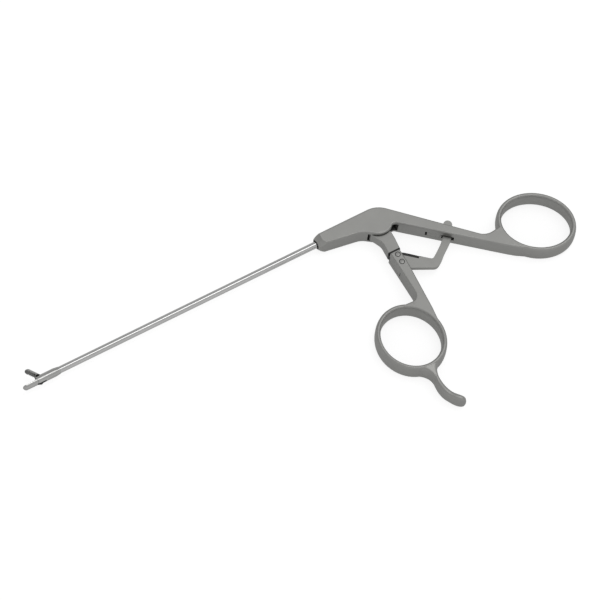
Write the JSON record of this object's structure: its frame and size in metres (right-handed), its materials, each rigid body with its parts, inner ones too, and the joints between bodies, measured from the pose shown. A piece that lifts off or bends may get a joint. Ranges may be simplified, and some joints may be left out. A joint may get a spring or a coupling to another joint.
{
  "type": "arthroscopic grasper",
  "caption": "Ring-handled surgical grasper with a slim straight shaft, one hinged serrated jaw over a fixed jaw, a push rod drive and a thumb-released ratchet between the handles.",
  "frame": {"origin": "on the resting face of the fixed handle (its -Z side), under the inner end of the shaft tube: 12 mm behind the front face of the nose, and 4 mm below the shaft axis", "axes": "+X along the shaft from the jaws towards the handles, +Y in the plane of the handles towards the straight top edge of the fixed handle, +Z through the thickness, towards the side with the headed fork pins; the instrument lies on its -Z side"},
  "size_m": [0.2297, 0.0941, 0.0082],
  "materials": {
    "satin_steel": "bead-blasted satin stainless steel",
    "polished_tube": "polished stainless steel",
    "jaw_steel": "fine satin stainless steel",
    "pin_steel": "ground stainless steel",
    "spring_steel": "bright spring steel"
  },
  "bodies": {
    "fixed_handle": {"handle_body": "satin_steel", "shaft_tube": "polished_tube", "shaft_lock_pin": "pin_steel", "jaw_housing": "jaw_steel", "jaw_pivot_pin": "pin_steel", "lever_pivot_pin": "pin_steel", "ratchet_insert": "jaw_steel", "insert_pin": "pin_steel"},
    "finger_lever": {"drive_lever": "satin_steel", "ring_lever": "satin_steel", "fork_upper_pin": "pin_steel", "ratchet_pivot_pin": "pin_steel", "lever_drive_pin": "pin_steel"},
    "push_rod": {"drive_rod": "polished_tube", "rod_yoke": "jaw_steel", "yoke_dowel": "pin_steel"},
    "hinged_jaw": {"upper_jaw": "jaw_steel", "jaw_drive_pin": "pin_steel"},
    "ratchet": {"ratchet_arm": "satin_steel", "leaf_spring": "spring_steel"}
  },
  "joints": [
    {"name": "lever_squeeze", "type": "hinge", "parent": "fixed_handle", "child": "finger_lever", "pos_m": [0.0137, -0.0039, 0.004], "axis": [0, 0, 1], "range_deg": [0, 15]},
    {"name": "rod_push", "type": "slide", "parent": "fixed_handle", "child": "push_rod", "axis": [-1, 0, 0], "range_m": [0, 0.00102]},
    {"name": "jaw_close", "type": "hinge", "parent": "fixed_handle", "child": "hinged_jaw", "pos_m": [-0.1386, -0.0009, 0.004], "axis": [0, 0, 1], "range_deg": [0, 57]},
    {"name": "ratchet_release", "type": "hinge", "parent": "finger_lever", "child": "ratchet", "pos_m": [0.0127, -0.0239, 0.004], "axis": [0, 0, 1], "range_deg": [-2.5, 0], "stiffness_Nm_per_rad": 0.25}
  ],
  "couplings": [
    {"joint": "rod_push", "follows": "lever_squeeze", "m_per_rad": 0.0038889},
    {"joint": "jaw_close", "follows": "lever_squeeze", "ratio": 3.8}
  ]
}
